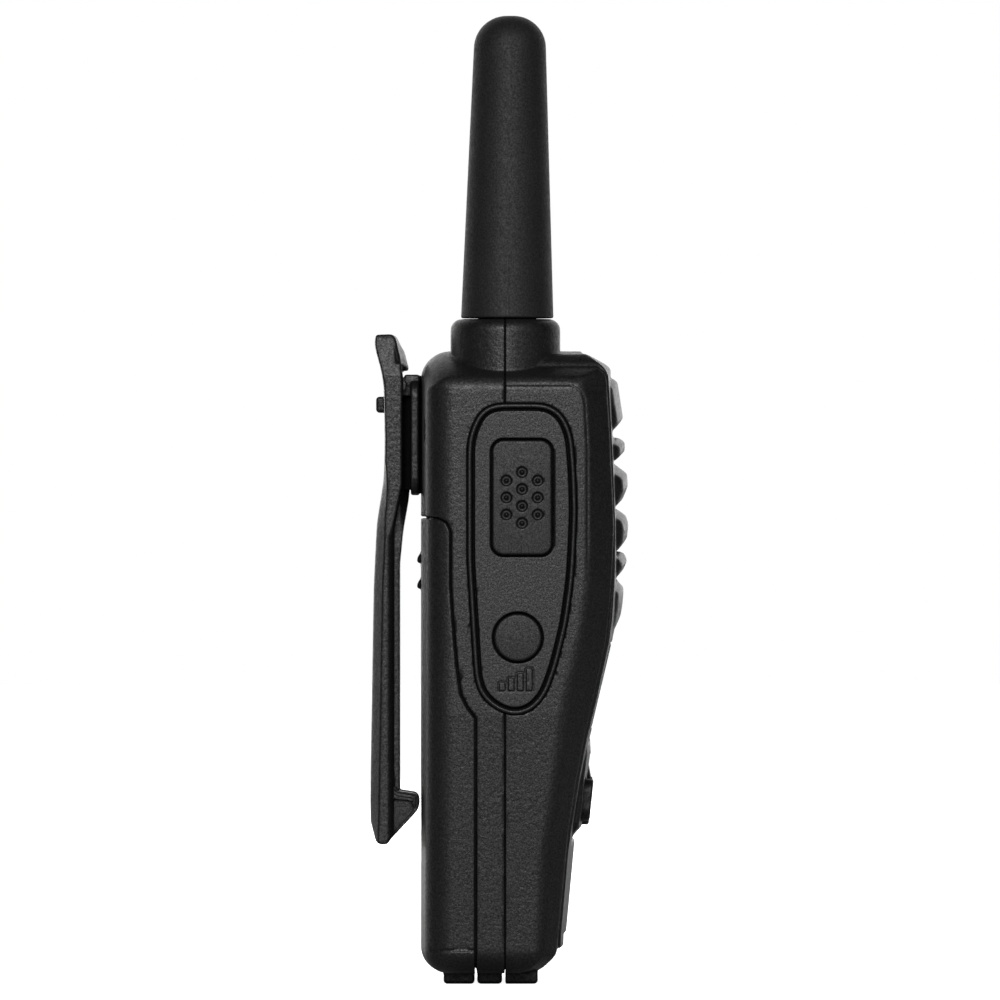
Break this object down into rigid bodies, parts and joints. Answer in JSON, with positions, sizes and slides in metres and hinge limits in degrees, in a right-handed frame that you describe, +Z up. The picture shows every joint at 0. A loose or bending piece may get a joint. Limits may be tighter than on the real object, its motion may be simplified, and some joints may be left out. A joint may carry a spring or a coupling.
{
  "type": "portable two-way radio",
  "caption": "Hand-held two-way radio with a stub antenna, side push-to-talk button, louvred speaker grille, display, keys and a sprung belt clip.",
  "frame": {"origin": "middle of the foot pads, on the surface the radio stands on", "axes": "+Z up along the antenna, -Y out of the front (speaker and keys), -X out of the push-to-talk side"},
  "size_m": [0.0551, 0.0432, 0.1611],
  "materials": {
    "shell_plastic": "fine moulded grain",
    "antenna_plastic": "matt",
    "button_rubber": "smooth matt",
    "window": "clear, dark",
    "display": "satin",
    "diffuser": "satin",
    "board": "solder mask",
    "steel": "plated",
    "copper_alloy": "plain",
    "cone_paper": "pressed fibre",
    "cell_jacket": "satin"
  },
  "bodies": {
    "radio": {"front_housing": "shell_plastic", "rear_housing": "shell_plastic", "side_panel": "shell_plastic", "ptt_switch": "steel", "squelch_switch": "steel", "jack_socket": "steel", "antenna_sleeve": "antenna_plastic", "antenna_coil": "copper_alloy", "lcd_window": "window", "lcd_panel": "display", "lcd_backlight": "diffuser", "speaker_frame": "steel", "speaker_cone": "cone_paper", "speaker_magnet": "steel", "speaker_felt": "cone_paper", "key_mat": "button_rubber", "main_board": "board", "rf_shield": "steel", "microphone": "steel", "cell_1": "cell_jacket", "cell_2": "cell_jacket", "cell_3": "cell_jacket", "cell_spring_1": "steel", "cell_spring_2": "steel", "cell_spring_3": "steel", "contact_plate_1": "steel", "contact_plate_2": "steel", "contact_plate_3": "steel", "housing_screw_1": "steel", "housing_screw_2": "steel", "housing_screw_3": "steel", "housing_screw_4": "steel"},
    "door": {"battery_door": "shell_plastic"},
    "ptt": {"ptt_button": "button_rubber"},
    "squelch": {"squelch_button": "button_rubber"},
    "up": {"key_up": "button_rubber"},
    "down": {"key_down": "button_rubber"},
    "menu": {"key_menu": "button_rubber"},
    "call": {"key_call": "button_rubber"},
    "power": {"key_power": "button_rubber"},
    "cover": {"jack_cover": "button_rubber"},
    "clip": {"clip_base": "shell_plastic", "clip_pin": "steel", "clip_spring": "steel"},
    "lever": {"clip_lever": "shell_plastic"}
  },
  "joints": [
    {"name": "door_slide", "type": "slide", "parent": "radio", "child": "door", "axis": [0, 0, -1], "range_m": [0, 0.08]},
    {"name": "ptt_press", "type": "slide", "parent": "radio", "child": "ptt", "axis": [1, 0, 0], "range_m": [0, 0.0012], "stiffness_N_per_m": 150},
    {"name": "squelch_press", "type": "slide", "parent": "radio", "child": "squelch", "axis": [1, 0, 0], "range_m": [0, 0.0008], "stiffness_N_per_m": 40},
    {"name": "key_up_press", "type": "slide", "parent": "radio", "child": "up", "axis": [0, 1, 0], "range_m": [0, 0.0008], "stiffness_N_per_m": 50},
    {"name": "key_down_press", "type": "slide", "parent": "radio", "child": "down", "axis": [0, 1, 0], "range_m": [0, 0.0008], "stiffness_N_per_m": 100},
    {"name": "key_menu_press", "type": "slide", "parent": "radio", "child": "menu", "axis": [0, 1, 0], "range_m": [0, 0.0008], "stiffness_N_per_m": 60},
    {"name": "key_call_press", "type": "slide", "parent": "radio", "child": "call", "axis": [0, 1, 0], "range_m": [0, 0.0008], "stiffness_N_per_m": 60},
    {"name": "key_power_press", "type": "slide", "parent": "radio", "child": "power", "axis": [0, 1, 0], "range_m": [0, 0.0008], "stiffness_N_per_m": 12},
    {"name": "cover_hinge", "type": "hinge", "parent": "radio", "child": "cover", "pos_m": [0.027, -0.0087, 0.0752], "axis": [0, 1, 0], "range_deg": [0, 100], "stiffness_Nm_per_rad": 0.0005},
    {"name": "clip_slide", "type": "slide", "parent": "radio", "child": "clip", "axis": [0, 0, 1], "range_m": [0, 0.024]},
    {"name": "lever_hinge", "type": "hinge", "parent": "clip", "child": "lever", "pos_m": [0, 0.0152, 0.0996], "axis": [1, 0, 0], "range_deg": [0, 18], "stiffness_Nm_per_rad": 0.05}
  ]
}
